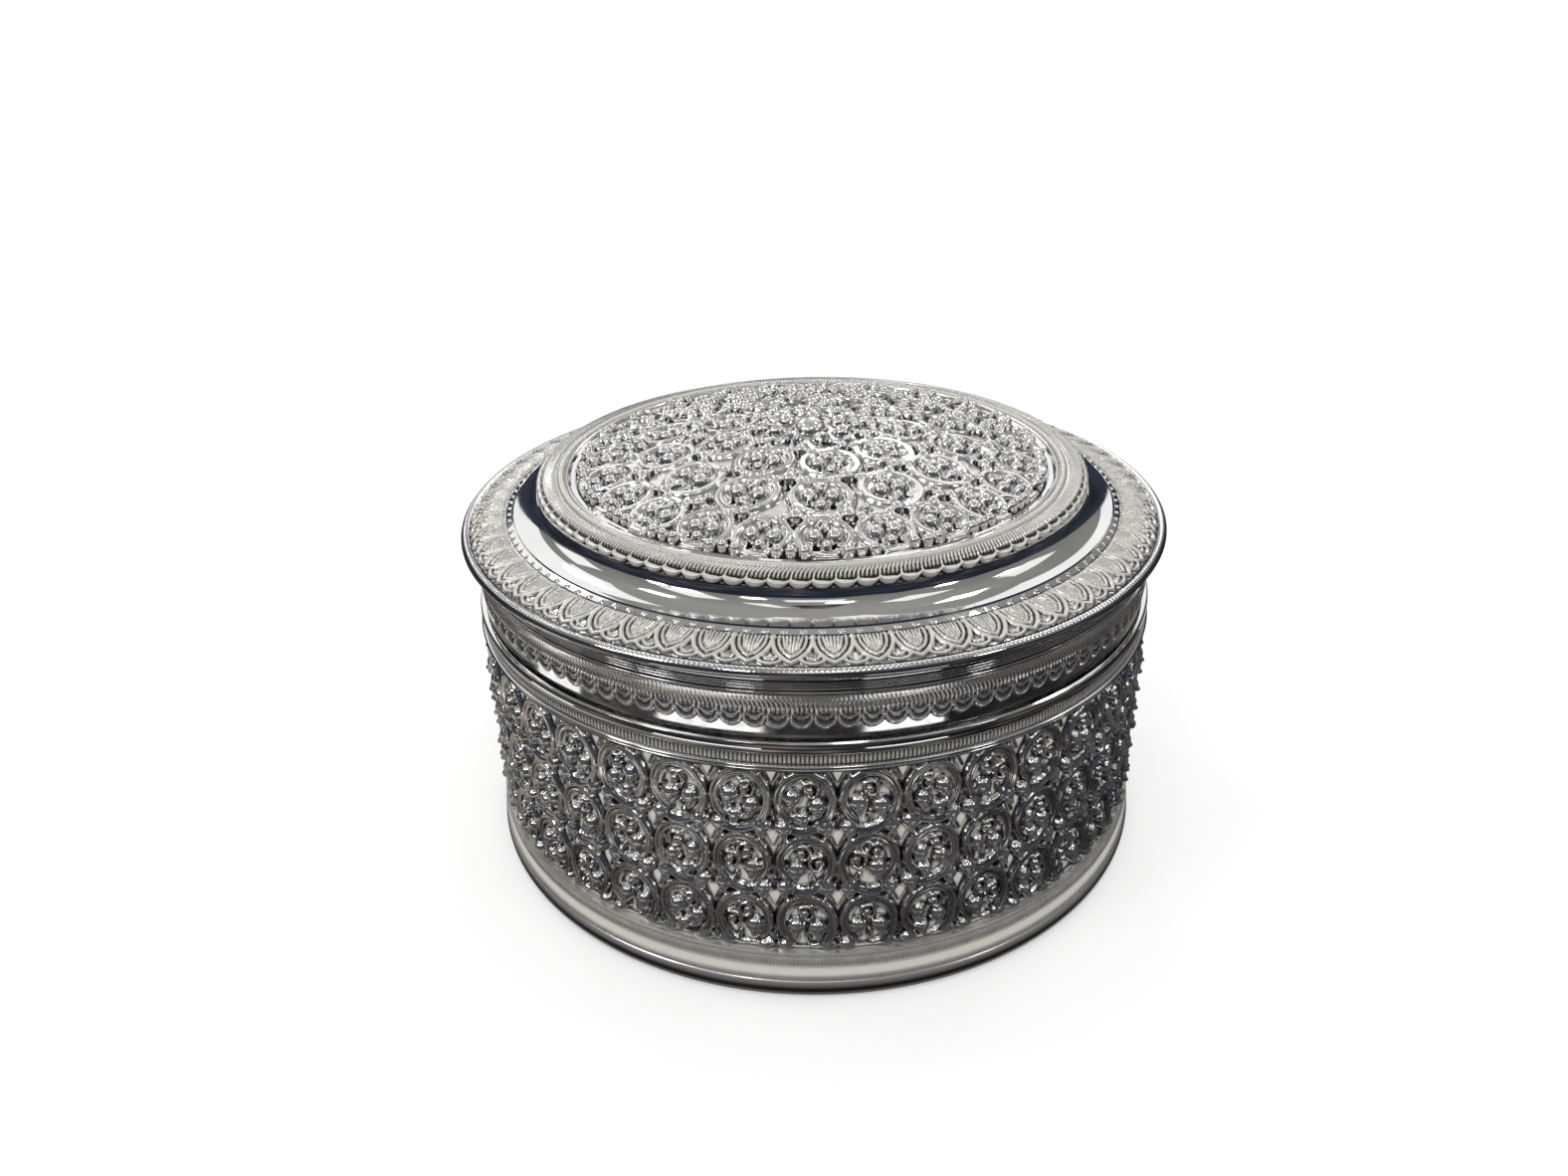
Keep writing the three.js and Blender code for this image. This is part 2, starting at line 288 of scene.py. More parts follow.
def cavity(height, dx, dy):
    """How far each point lies under the mean of what is around it."""
    nx, ny = max(1, int(round(NEAR / dx))), max(1, int(round(NEAR / dy)))
    across = np.zeros_like(height)
    weight = 0.0
    for i in range(-nx, nx + 1):
        w = math.exp(-2.0 * (i / nx) ** 2)
        across += w * np.roll(height, i, axis=1)
        weight += w
    across /= weight
    padded = np.pad(across, ((ny, ny), (0, 0)), mode="edge")
    total = np.zeros_like(height)
    weight = 0.0
    for j in range(-ny, ny + 1):
        w = math.exp(-2.0 * (j / ny) ** 2)
        total += w * padded[ny + j : ny + j + len(height)]
        weight += w
    return total / weight - height


def relief_bands(name, count, height, recess, base, belongs, matt):
    """A relief too fine for one mesh, as count rings from the bottom up, each closed behind by the sheet.

    belongs is the rings' body, slot and replaced nodes.
    """
    cuts = [int(round(n * (len(height) - 1) / count)) for n in range(count + 1)]
    for n, (low, high) in enumerate(zip(cuts[:-1], cuts[1:])):
        rows = slice(low, high + 1)
        inside = [base[row, :2] - SHEET * base[row, 2:] for row in (high, low)]
        relief_ring(f"{name}_{n + 1}", height[rows], recess[rows], base[rows], inside, *belongs, matt[rows])


def relief_ring(name, height, recess, base, inside, body, slot, nodes=(), matt=None):
    """A ring whose outer face carries a relief on the line base, which along gives.

    inside are points of (radius, height) that close it from the last row to the first.
    """
    columns = height.shape[1]
    inside = np.asarray(inside, dtype=float)
    flat = np.ones((len(inside), columns))
    r = np.concatenate([base[:, :1] + height * base[:, 2:3], inside[:, :1] * flat])
    z = np.concatenate([base[:, 1:2] + height * base[:, 3:4], inside[:, 1:2] * flat])
    shades = {"recess": np.concatenate([recess, 0 * flat])}
    if matt is not None:
        shades["matt"] = np.concatenate([matt, 0 * flat])
    points = swept(r, z, np.arange(columns) / columns * TURN)
    seams = (columns, [0, *range(len(height) - 1, len(r))])
    add_mesh(name, points, ring_faces(len(r), columns), body, slot, nodes, shades, seams=seams)


# Ornament

SPIRAL_STEPS = 36


def curve(x, y, rx, ry, start, end, steps):
    """Points of an elliptical arc on the sheet, angles in degrees."""
    angle = np.radians(np.linspace(start, end, steps))
    return np.stack([x + rx * np.cos(angle), y + ry * np.sin(angle)], -1)


class Place:
    """Puts a motif's own coordinates on the sheet: turned, mirrored, scaled, and stretched by tall in y."""

    def __init__(self, x, y, size=1.0, tall=1.0, flip=1, turn=0.0):
        self.x, self.y, self.size, self.tall, self.flip, self.turn = x, y, size, tall, flip, turn
        self.c, self.s = math.cos(turn), math.sin(turn)

    def __call__(self, u, v):
        u, v = self.flip * u * self.size, v * self.size * self.tall
        return self.x + u * self.c - v * self.s, self.y + u * self.s + v * self.c

    def line(self, points):
        return np.array([self(u, v) for u, v in points])

    def ring(self, points):
        """A polygon, kept anticlockwise when the motif is mirrored."""
        made = self.line(points)
        return made if self.flip > 0 else made[::-1]


def spiral(x, y, outer, inner, start, turns):
    """Points of a curl that winds from the radius outer to the radius inner, start in radians."""
    t = np.linspace(0, 1, SPIRAL_STEPS)
    radius = outer + (inner - outer) * t
    angle = start + turns * TURN * t
    return np.stack([x + radius * np.cos(angle), y + radius * np.sin(angle)], -1)


def bud(relief, place, u, v, a, b, rng, height=1.55, bead=0.68):
    """A swelling bud with a bead on its lower lip."""
    u, v = u + float(rng.uniform(-0.15, 0.15)), v + float(rng.uniform(-0.12, 0.12))
    tilt = place.turn + float(rng.uniform(-0.3, 0.3))
    x, y = place(u, v)
    relief.boss(x, y, a * place.size, b * place.size * place.tall, tilt, height, base=0.2)
    x, y = place(u + float(rng.uniform(-0.25, 0.35)), v - b * 0.7)
    relief.bead(x, y, bead * place.size, height - 0.15)


def leaf(relief, place, u, v, angle, length, width):
    """A pointed leaf with its root at (u, v)."""
    a = math.radians(angle)
    tip = (u + length * math.cos(a), v + length * math.sin(a))
    points = [(u, v), ((u + tip[0]) / 2, (v + tip[1]) / 2), tip]
    radii = np.array([0.55, 1.0, 0.12]) * width * place.size
    relief.cord(place.line(points), radii, 0.85, base=0.1, power=0.7)


def roundel(relief, place, kind, rng):
    """One ring of the vine: a double stem that winds round a curl, buds and leaves. kind is 0, 1 or 2."""
    size = place.size
    angle = np.radians(np.linspace(-128, 232, 48))
    radius = np.interp(np.degrees(angle), [-128, -80, 0, 90, 180, 232], [5.9, 5.3, 5.0, 4.95, 4.85, 4.3])
    unit = np.stack([np.cos(angle), np.sin(angle)], -1)
    radius = radius[:, None]
    relief.cord(place.line(unit * (radius - 0.4)), 0.9 * size, 0.9, base=0.05, power=0.7)
    relief.cord(place.line(unit * radius), 0.5 * size, 1.15, base=0.2, power=0.7)
    second = (unit * (radius - 0.92))[5:]
    relief.cord(place.line(second), np.linspace(0.3, 0.44, len(second)) * size, 1.0, base=0.15, power=0.7)
    relief.cord(place.line((unit * (radius - 1.65))[20:40]), 0.28 * size, 0.7, base=0.15, power=0.7)
    cu, cv = ((0.1, 1.7), (-0.7, 1.75), (1.0, 1.75))[kind]
    width = np.linspace(0.42, 0.3, SPIRAL_STEPS) * size
    relief.cord(place.line(spiral(cu, cv, 1.55, 0.55, 2.4, -1.15)), width, 1.25, base=0.15)
    x, y = place(cu, cv)
    relief.bead(x, y, 0.55 * size, 1.0)
    if kind == 0:
        bud(relief, place, -1.9, -0.6, 1.7, 1.45, rng)
        bud(relief, place, 1.9, -1.15, 1.7, 1.45, rng)
        leaf(relief, place, 0.0, -1.9, 270, 2.3, 0.6)
    elif kind == 1:
        relief.cord(place.line(spiral(2.05, 0.0, 1.65, 0.6, 1.2, 1.15)), width, 1.25, base=0.15)
        x, y = place(2.05, 0.0)
        relief.bead(x, y, 0.5 * size, 0.9)
        bud(relief, place, -1.6, -1.15, 1.85, 1.5, rng)
        leaf(relief, place, 1.2, -2.2, 290, 2.0, 0.6)
    else:
        bud(relief, place, -1.95, 0.35, 1.6, 1.4, rng)
        bud(relief, place, 2.0, -0.85, 1.6, 1.4, rng)
        bud(relief, place, -0.5, -2.55, 1.5, 1.1, rng)


def meeting(relief, place, rng):
    """The buds, leaves and flat grounds where four roundels meet."""
    relief.plaque(place.ring([(-1.9, 0.6), (0.0, -3.0), (1.9, 0.6)]), 0.6, (0.0, -0.05))
    for side in (-1, 1):
        leaf(relief, place, side * 1.7, -0.6, 270 + side * 30, 1.7, 0.45)
    leaf(relief, place, 0.0, 2.0, 90, 2.2, 0.55)
    bud(relief, place, -1.85, 1.05, 1.7, 1.25, rng)
    bud(relief, place, 1.8, 0.9, 1.65, 1.2, rng)


# Materials


def silver(
    name,
    colour,
    roughness,
    dark=(0.05, 0.045, 0.042),
    frost=(0.66, 0.62, 0.56),
    scratch=0.006,
    size=420.0,
    milled=0.0,
):
    """Polished silver, darkened in its recesses as tarnished silver with painted shade, and frosted on matt
    grounds.

    dark is the colour of those recesses, tarnished and painted shade, and frost the colour of the frosting.
    scratch is the depth of the fine scratches in millimetres and size their fineness. milled is the least
    share of frost, for work too fine to show its own facets.
    """
    material = bpy.data.materials.new(name)
    material.use_nodes = True
    nodes, links = material.node_tree.nodes, material.node_tree.links
    shader = nodes["Principled BSDF"]
    where = nodes.new("ShaderNodeTexCoord")

    def noise(scale, detail):
        texture = nodes.new("ShaderNodeTexNoise")
        texture.inputs["Scale"].default_value = scale
        texture.inputs["Detail"].default_value = detail
        links.new(where.outputs["Object"], texture.inputs["Vector"])
        return texture.outputs["Fac"]

    def mapped(value, low, high, to_low, to_high):
        node = nodes.new("ShaderNodeMapRange")
        node.inputs["From Min"].default_value = low
        node.inputs["From Max"].default_value = high
        node.inputs["To Min"].default_value = to_low
        node.inputs["To Max"].default_value = to_high
        links.new(value, node.inputs["Value"])
        return node.outputs["Result"]

    def blend(factor, a, b):
        node = nodes.new("ShaderNodeMix")
        node.data_type = "RGBA"
        links.new(factor, node.inputs["Factor"])
        sockets = {s.name: s for s in node.inputs if s.type == "RGBA"}
        for name, value in (("A", a), ("B", b)):
            if isinstance(value, tuple):
                sockets[name].default_value = (*value, 1)
            else:
                links.new(value, sockets[name])
        return next(s for s in node.outputs if s.type == "RGBA")

    def attribute(key):
        node = nodes.new("ShaderNodeAttribute")
        node.attribute_name = key
        return node.outputs["Fac"]

    clouds = mapped(noise(70.0, 4.0), 0.35, 0.65, 0.0, 1.0)
    frosted = mapped(attribute("matt"), 0.0, 1.0, milled, 1.0)
    # the recess attribute darkens the colour towards dark: tarnished recesses with painted shade
    depth = mapped(attribute("recess"), 0.06, 0.42, 0.0, 1.0)
    tone = blend(clouds, tuple(c * 0.9 for c in colour), colour)
    tone = blend(depth, blend(frosted, tone, frost), dark)
    rub = mapped(noise(size, 3.0), 0.3, 0.75, roughness * 0.6, roughness * 1.5)
    rougher = nodes.new("ShaderNodeMath")
    rougher.operation = "MULTIPLY_ADD"
    rougher.inputs[1].default_value = 0.5
    links.new(frosted, rougher.inputs[0])
    links.new(rub, rougher.inputs[2])
    links.new(tone, shader.inputs["Base Color"])
    links.new(rougher.outputs["Value"], shader.inputs["Roughness"])
    links.new(mapped(frosted, 0.0, 1.0, 1.0, 0.2), shader.inputs["Metallic"])
    bump = nodes.new("ShaderNodeBump")
    bump.inputs["Distance"].default_value = scratch * MM
    links.new(noise(size, 3.0), bump.inputs["Height"])
    links.new(bump.outputs["Normal"], shader.inputs["Normal"])
    return material


POLISHED = silver("polished_silver", (0.9, 0.895, 0.885), 0.06, scratch=0.004, size=260.0)
CHASED = silver("chased_silver", (0.95, 0.94, 0.92), 0.12, dark=(0.06, 0.05, 0.042), frost=(0.85, 0.81, 0.74))
MILLED = silver("milled_silver", (0.86, 0.85, 0.82), 0.16, frost=(0.8, 0.765, 0.69), milled=0.3)
INNER = silver("inner_silver", (0.82, 0.815, 0.8), 0.26)
FINISH = {
    "polished_silver": POLISHED,
    "chased_silver": CHASED,
    "milled_silver": MILLED,
    "inner_silver": INNER,
}


def half_round(inside, outside, bottom, top):
    """The profile of a ring with a half-round outer face."""
    middle = (bottom + top) / 2
    bulge = arc(inside + SHEET, middle, outside - inside - SHEET, (top - bottom) / 2, -90, 90, 14)
    return [(inside, bottom), *bulge, (inside, top)]


# The base, from the foot up

turned(
    "foot",
    [
        (65.2, 0),
        (68.4, 0),
        *arc(68.1, 1.9, 1.35, 1.9, -80, 80, 16),
        (67.9, 3.9),
        (APPLIED, 3.9),
        (APPLIED, 1.1),
        (65.2, 1.1),
    ],
    "base",
    "polished_silver",
    ["foot_ring"],
    # darker below 3.7 mm: painted shade where the foot curves in to the floor
    low=3.7,
    matt=0.35,
)
turned(
    "floor_plate",
    [
        (0, 1.2),
        (65.9, 1.2),
        (65.9, 2.1),
        *[(64.6, 2.1), (64.2, 2.25), (63.8, 2.1)],  # a raised line near the wall
        *[(32, 2.1), (31.7, 2.2), (31.4, 2.1)],  # and a finer one half way in
        (0, 2.1),
    ],
    "base",
    "inner_silver",
    ["base_plate"],
)
turned(
    "collar",
    [(65.0, 44), (65.9, 44), (65.9, 60), (65.6, 60.4), (65.3, 60.5), (65.0, 60.3)],
    "base",
    "inner_silver",
    ["inner_collar"],
)
turned(
    "wall_foot",
    [(WALL_INSIDE, 1.2), (PLAIN_WALL, 1.2), (PLAIN_WALL, 9.75), (WALL_INSIDE, 9.75)],
    "base",
    "inner_silver",
)
turned(
    "wall_mouth",
    [(WALL_INSIDE, 48.45), (PLAIN_WALL, 48.45), (PLAIN_WALL, MOUTH), (WALL_INSIDE, MOUTH)],
    "base",
    "inner_silver",
)

# The milled band above the foot
border = Relief(TURN * 68.5, 5.8, 0.15, 0.23)
teeth = 700
tooth = border.width / teeth
for n in range(teeth):
    border.boss((n + 0.5) * tooth, 3.9, tooth * 0.4, 0.9, 0.0, 0.42, power=0.4)
for y, radius, rise in ((0.5, 0.45, 0.3), (5.35, 0.4, 0.35), (2.85, 0.2, 0.15)):  # raised lines
    border.cord([(0, y), (border.width / 2, y)], radius, rise)
    border.cord([(border.width / 2, y), (border.width, y)], radius, rise)
heights, deep = border.finished(tarnish_and_shade=1.6)
line = along([(69.0, 3.9), (68.5, 6.4), (68.3, 9.7)], border.rows)
inside = [(APPLIED, 9.7), (APPLIED, 3.95)]
matt = border.flats(heights, 0.2)
relief_ring("foot_border", heights, deep, line, inside, "base", "milled_silver", ["lower_border_band"], matt)

# The chased wall
WALL_BOTTOM, WALL_TOP = 9.8, 48.4
AROUND = 39  # roundels in a row
FIRST = -1.4  # degrees from the front to the first one
ROUNDEL_ROWS = (42.35, 29.25, 16.15)
MEETING_ROWS = (48.9, 35.8, 22.7, 9.6)
TALL = 1.22  # height of a motif over its width
BORDER_FADE = 1.4  # over which the relief rises from the border
wall = Relief(TURN * 67.6, WALL_TOP - WALL_BOTTOM, 0.17)
rng = np.random.default_rng(11)
pitch = wall.width / AROUND
first = FIRST / 360 * wall.width
for z in ROUNDEL_ROWS:
    for column in range(AROUND):
        flip = 1 if rng.random() < 0.7 else -1
        lean, size = float(rng.uniform(-0.16, 0.16)), float(rng.uniform(0.97, 1.02))
        place = Place(first + column * pitch, z - WALL_BOTTOM, size, TALL, flip, lean)
        roundel(wall, place, int(rng.integers(0, 3)), rng)
for z in MEETING_ROWS:
    for column in range(AROUND):
        flip = 1 if rng.random() < 0.5 else -1
        meeting(wall, Place(first + (column + 0.5) * pitch, z - WALL_BOTTOM, tall=TALL, flip=flip), rng)
heights, deep = wall.finished(2, tarnish_and_shade=1.4)
heights *= np.clip(np.arange(wall.rows) * wall.dy / BORDER_FADE, 0, 1)[:, None] ** 0.7
line = along([(PLAIN_WALL, WALL_BOTTOM), (PLAIN_WALL, WALL_TOP)], wall.rows)
frosted = np.maximum(wall.flats(heights), 0.07 * np.clip((heights - 0.8) / 0.6, 0, 1))
relief_bands("vine", 8, heights, deep, line, ("base", "chased_silver", ["body_wall"]), frosted)

# The rings round the mouth
turned(
    "vine_top_wire",
    [
        (APPLIED, 48.5),
        *arc(67.6, 48.85, 0.7, 0.35, -90, 90, 10),
        *arc(67.7, 49.55, 0.75, 0.35, -90, 90, 10),
        (APPLIED, 49.9),
    ],
    "base",
    "polished_silver",
    ["upper_edge_wire"],
)
milled = Relief(TURN * 67.8, 1.8, 0.14, 0.16)
teeth = 580
tooth = milled.width / teeth
for n in range(teeth):
    milled.boss((n + 0.5) * tooth, 0.9, tooth * 0.36, 0.7, 0.0, 0.3, power=0.4)
heights, deep = milled.finished(tarnish_and_shade=4.0)
line = along([(67.75, 50.0), (67.75, 51.8)], milled.rows)
# the whole band is darkened a step further: painted shade, as it lies sunk between the wire and the moulding
deep += 0.2
inside = [(APPLIED, 51.8), (APPLIED, 50.0)]
relief_ring("mouth_milling", heights, deep, line, inside, "base", "milled_silver", ["upper_milled_band"])
turned("mouth_moulding", half_round(APPLIED, 68.2, 51.9, MOUTH), "base", "polished_silver", ["mouth_bead"])

# The lid's skirt, with its row of feathered lappets
skirt = Relief(TURN * 66.9, 8.0, 0.15, 0.25)
feathers = 110
pitch = skirt.width / feathers
for n in range(feathers):
    x = (n + 0.5) * pitch
    skirt.cord(curve(x, 4.4, pitch * 0.46, 2.0, 180, 360, 18), 0.27, 0.5)
    skirt.cord(curve(x, 4.9, pitch * 0.36, 1.0, 190, 350, 14), 0.24, 0.45)
    for stroke in range(5):
        s = x - pitch / 2 + (stroke + 0.5) * pitch / 5
        feather = [(s - 1.7, 8.1), (s - 0.9, 7.5), (s - 0.2, 6.6), (s + 0.14, 5.7), (s + 0.1, 5.0)]
        skirt.cord(feather, 0.29, 0.42)
heights, deep = skirt.finished(tarnish_and_shade=3.2)
line = along([(66.95, 54.6), (66.9, 55.2), (66.9, 62.6)], skirt.rows)
raised = 0.12 * np.clip(heights / 0.4, 0, 1)
inside = [(66.2, 62.6), (66.2, 54.6)]
relief_ring("skirt", heights, deep, line, inside, "lid", "chased_silver", ["lid_skirt"], raised)
turned(
    "neck",
    [
        (66.2, 62.65),
        (66.9, 62.65),
        *arc(66.9, 62.95, 0.3, 0.25, -80, 80, 8),
        (66.85, 63.35),
        *arc(66.9, 63.65, 0.22, 0.2, -80, 80, 6),
        *arc(66.9, 64.15, 0.22, 0.2, -80, 80, 6),
        *arc(66.9, 64.7, 0.3, 0.25, -80, 80, 8),
        *arc(68.3, 65.15, 1.35, 1.7, 180, 95, 12),
        (68.0, 67.5),
        (66.2, 67.5),
    ],
    "lid",
    "polished_silver",
    ["lid_neck_moulding"],
    # the grooves are darkened: tarnished grooves with painted shade
    grooves=67.02,
)

# The rim wire, milled along its top
RIM_WIRE = 0.95  # half its thickness
rim = Relief(TURN * 69.0, RIM_WIRE * math.radians(235), 0.2)
dots = 520
for n in range(dots):
    rim.bead((n + 0.5) * rim.width / dots, RIM_WIRE * math.radians(150), 0.26, 0.0)
heights, deep = rim.finished()
line = along(arc(69.05, 67.8, RIM_WIRE, RIM_WIRE, -75, 160, 60), rim.rows)
inside = arc(69.05, 67.8, RIM_WIRE, RIM_WIRE, 175, 270, 5)
relief_ring("rim", heights * 0.7, deep, line, inside, "lid", "polished_silver", ["lid_rim_wire"])

# The lotus petals on the flange
flange = Relief(TURN * 64.8, 7.2, 0.13, 0.18)
petals = 62
pitch = flange.width / petals
for n in range(petals):
    x = (n + 0.5) * pitch
    half = pitch / 2
    side = [(0.97, 7.0), (0.99, 5.6), (0.93, 4.2), (0.74, 2.7), (0.42, 1.4), (0.0, 0.55)]
    edge = [(x - half * u, v) for u, v in side] + [(x + half * u, v) for u, v in side[-2::-1]]
    flange.cord(edge, 0.42, 0.6)
    inner = np.array([(x + (px - x) * 0.7, 7.0 - (7.0 - py) * 0.81) for px, py in edge])
    flange.cord(inner, 0.18, 0.3)
    steps, points = np.linspace(0, len(inner) - 1, 25), np.arange(len(inner))
    for px, py in zip(np.interp(steps, points, inner[:, 0]), np.interp(steps, points, inner[:, 1])):
        flange.bead(px, py, 0.27, 0.25)
    for rib in (-2.5, -1.5, -0.5, 0.5, 1.5, 2.5):
        top, foot = x + rib * 0.66, x + rib * 0.42
        flange.cord([(top, 6.9), (foot, 2.5 + abs(rib) * 0.45)], [0.22, 0.16], 0.42)
    flange.boss(x + half, 6.4, 0.75, 0.6, 0, 0.6)
    flange.bead(x + half, 6.95, 0.35, 0.3)
    flange.cord(curve(x + half, 1.75, half * 0.62, 1.35, 188, 352, 14), 0.32, 0.5)
    flange.cord(curve(x + half, 2.1, half * 0.3, 0.8, 200, 340, 8), 0.17, 0.3)
heights, deep = flange.finished(tarnish_and_shade=2.8)
heights *= np.clip(7.5 - np.arange(flange.rows) * flange.dy, 0.3, 1)[:, None]
line = along([(68.15, 68.55), (66.5, 69.2), (64.0, 69.75), (61.1, 70.05)], flange.rows)
raised = 0.4 * np.clip(heights / 0.35, 0, 1)
relief_bands("petals", 2, heights, deep, line, ("lid", "chased_silver", ["lid_petal_flange"]), raised)

# The plain cove and its ledge
turned(
    "cove",
    [
        *bend((53.9, 75), (54.1, 71.4), (59.6, 70.85), 30),
        (59.75, 70.55),
        (61.0, 70.15),
        (61.0, 69.25),
        (59.6, 69.7),
        *arc(59.5, 75, 6.5, 5.0, 268, 180, 16),
    ],
    "lid",
    "polished_silver",
    ["lid_cove"],
)
ledge = Relief(TURN * 60.5, 1.0, 0.2, 0.12)
dots = 126
for n in range(dots):
    ledge.bead((n + 0.5) * ledge.width / dots, 0.5, 0.32, 0.0)
heights, deep = ledge.finished(tarnish_and_shade=0.3)
line = along([(61.0, 70.2), (60.1, 70.5)], ledge.rows)
relief_ring("ledge_dots", heights, deep, line, [(60.2, 69.9), (60.9, 69.7)], "lid", "polished_silver")

# The crown's border
crown = Relief(TURN * 52.5, 4.4, 0.13, 0.16)
lappets = 92
swell = [0.18, 0.28, 0.4, 0.5, 0.58, 0.62, 0.62, 0.56, 0.46, 0.34, 0.22, 0.12]
pitch = crown.width / lappets
for n in range(lappets):
    x = (n + 0.5) * pitch
    crown.cord(curve(x, 1.2, pitch * 0.46, 0.6, 160, 350, len(swell)), swell, 0.95, power=0.6)
    for stroke in range(5):
        s = x - pitch / 2 + (stroke + 0.4) * pitch / 5
        crown.cord([(s + 0.9, 3.8), (s + 0.5, 3.1), (s + 0.1, 2.4), (s - 0.05, 1.7)], 0.16, 0.65)
heights, deep = crown.finished(tarnish_and_shade=3.0)
shoulder = [(53.95, 74.9), (53.95, 75.2), (53.6, 75.9), (53.2, 76.5)]
line = along([*shoulder, (52.6, 76.85), (51.6, 76.9), (50.6, 76.85)], crown.rows)
inside = [(50.6, 75.9), (51.4, 75.9), (53.0, 75.1)]
raised = 0.4 * np.clip(heights / 0.5, 0, 1)
relief_ring("lappets", heights, deep, line, inside, "lid", "chased_silver", ["lid_lappet_band"], raised)

# The milled wire round the panel
PANEL_WIRE = 0.6  # half its thickness
wire = Relief(TURN * 49.9, PANEL_WIRE * math.radians(300), 0.14)
teeth = 520
for n in range(teeth):
    x = (n + 0.5) * wire.width / teeth
    wire.cord([(x, 0.3), (x, PANEL_WIRE * math.radians(270))], 0.22, 0.14)
heights, deep = wire.finished()
line = along(arc(49.9, 76.75, PANEL_WIRE, 0.55, -60, 240, 40), wire.rows)
relief_ring("milled_wire", heights, deep, line, [(49.9, 76.3)], "lid", "milled_silver", ["lid_milled_wire"])

# The domed panel, whose map is a square seen from above
SPAN = 100.0
PIERCED = 1.3  # depth of the pierced grounds
TRIES, OUTERMOST = 2600, 46.2  # places looked at for the small balls, and how far out they go
dome = Relief(SPAN, SPAN, 0.15)
centre = SPAN / 2
rng = np.random.default_rng(5)


def on_dome(radius, degrees, size=1.0, flip=1):
    """A motif's place on the dome, with its top towards the middle."""
    a = math.radians(degrees)
    return Place(centre + radius * math.sin(a), centre - radius * math.cos(a), size, flip=flip, turn=a)


def medallion(place, rng):
    """A roundel of the dome: a broad double stem round a curl, three balls and their pierced grounds."""
    angle = np.radians(np.linspace(-105, 240, 46))
    radius = np.interp(np.degrees(angle), [-105, -60, 0, 90, 180, 240], [5.9, 5.4, 5.15, 5.2, 5.0, 4.5])
    stem = np.stack([radius * np.cos(angle), radius * np.sin(angle)], -1)
    dome.boss(place.x, place.y, 4.6 * place.size, 4.6 * place.size, 0, 0.3, power=0.15)
    dome.cord(place.line(stem * 0.92), 1.0 * place.size, 0.85, base=0.05, power=0.7)
    dome.cord(place.line(stem * 0.99), 0.34 * place.size, 0.8, base=0.2)
    dome.cord(place.line(stem * 0.85), 0.3 * place.size, 0.75, base=0.2)
    dome.cord(place.line(spiral(0.1, 2.3, 1.3, 0.5, 2.4, -1.1)), 0.36 * place.size, 1.1, base=0.3)
    ball(place, 0.1, 2.3, 0.6)
    for side in (-1, 1):
        u, v = side * 1.85 + float(rng.uniform(-0.2, 0.2)), float(rng.uniform(-0.1, 0.3))
        dome.pit(place.ring([(u - 0.8, -3.1), (u + 0.8, -3.1), (u, -1.2)]), PIERCED)
        ball(place, u, v, float(rng.uniform(1.35, 1.55)))
        ball(place, u, v - 1.35, 0.45)
    ball(place, float(rng.uniform(-0.2, 0.2)), -2.5, 1.0)


def ball(place, u, v, radius, base=0.65, rise=0.75):
    """A ball that starts base over the sheet and rises by its radius times rise."""
    x, y = place(u, v)
    dome.boss(x, y, radius * place.size, radius * place.size, 0, radius * place.size * rise, base)


def knot(place, rng):
    """Balls and a pierced ground between the roundels of the dome."""
    dome.pit(place.ring([(-0.8, -3.1), (0.8, -3.1), (0.0, -1.1)]), PIERCED)
    ball(place, float(rng.uniform(-0.2, 0.2)), 0.3, float(rng.uniform(1.3, 1.6)))
    ball(place, -2.3, -0.6, 1.15)
    ball(place, 2.3, -0.7, 1.1)
    ball(place, float(rng.uniform(-0.6, 0.6)), 2.6, 1.0)


def edge_balls(place, rng):
    """Three high balls and a pierced ground at the dome's edge."""
    for u in (-2.3, 0.0, 2.3):
        ball(place, u, float(rng.uniform(-0.2, 0.3)), float(rng.uniform(1.0, 1.2)), 1.1, 1.0)
    dome.pit(place.ring([(-0.8, 1.3), (0.8, 1.3), (0.0, 2.8)]), PIERCED)


def scatter(rng):
    """Small balls on the grounds that the roundels and knots leave free."""
    radii = OUTERMOST * np.sqrt(rng.random(TRIES))
    turns = 360 * rng.random(TRIES)
    sizes = rng.uniform(0.8, 1.3, TRIES)
    for radius, degrees, size in zip(radii, turns, sizes):
        place = on_dome(radius, degrees)
        cells = dome.window(place.x, place.y, size * 0.85)[0]
        if dome.height[cells].max() < 0.35 and dome.pits[cells].max() == 0:
            ball(place, 0, 0, size)


# Rings of roundels and of knots: radius, number, first one in degrees, size
for radius, count, phase, size in ((41.0, 24, 3.1, 1.0), (29.4, 14, 3.3, 1.12), (17.7, 9, 11.2, 1.08)):
    for n in range(count):
        flip = 1 if rng.random() < 0.5 else -1
        medallion(on_dome(radius, phase + n * 360 / count, size, flip), rng)
for radius, count, phase, size in ((35.6, 24, 10.6, 0.95), (23.6, 14, 16.2, 1.0), (12.0, 9, 31.2, 0.9)):
    for n in range(count):
        knot(on_dome(radius, phase + n * 360 / count, size), rng)
for n in range(24):
    edge_balls(on_dome(45.4, 10.6 + n * 15), rng)
for n in range(7):
    place = on_dome(6.6, n * 360 / 7 + 20, 1.05)
    leaf(dome, place, -0.6, -1.3, 235, 2.3, 0.5)
    leaf(dome, place, 0.6, -1.3, 305, 2.3, 0.5)
    bud(dome, place, 0, 0, 1.9, 1.8, rng, height=1.7, bead=0.6)
dome.boss(centre, centre, 3.3, 3.3, 0, 2.4, base=0.2)
scatter(rng)
heights, deep = dome.finished(2, tarnish_and_shade=2.0)
grounds = 0.2 * dome.flats(heights, 0.6) + 0.14 * np.clip((heights - 0.5) / 0.6, 0, 1)


